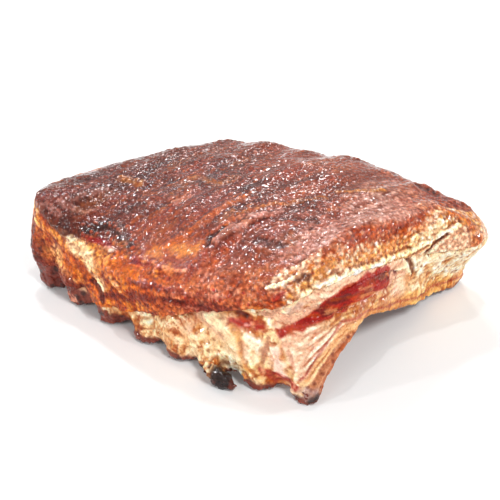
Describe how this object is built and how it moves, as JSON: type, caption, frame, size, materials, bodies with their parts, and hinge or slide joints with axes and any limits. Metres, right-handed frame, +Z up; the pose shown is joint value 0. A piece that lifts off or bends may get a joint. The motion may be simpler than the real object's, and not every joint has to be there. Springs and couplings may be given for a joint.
{
  "type": "rack of ribs",
  "caption": "Smoked pork rib rack with thick browned outer meat over a rib meat layer, a row of rib bones, a lean strip on the cut side and an arched bone side that it rests on.",
  "frame": {"origin": "Centre of the bounding box in plan, on the surface that the rack rests on.", "axes": "+Z up. +X runs along the rack across the bones, towards the fresh cut. +Y runs along the bones, from their front ends to the back."},
  "size_m": [0.255, 0.1922, 0.0816],
  "materials": {
    "browned_crust": "smoked, browned and glossy with fat",
    "rib_meat": "cream fat and tan cooked meat, moist",
    "lean_meat": "pink-red cured lean, moist",
    "rib_bone": "cream bone end, singed"
  },
  "bodies": {
    "root": {"outer_meat": "browned_crust", "rib_meat": "rib_meat", "lean_muscle": "lean_meat", "rib_bone_1": "rib_bone", "rib_bone_2": "rib_bone", "rib_bone_3": "rib_bone", "rib_bone_4": "rib_bone", "rib_bone_5": "rib_bone", "rib_bone_6": "rib_bone", "rib_bone_7": "rib_bone", "rib_bone_8": "rib_bone"}
  },
  "joints": []
}
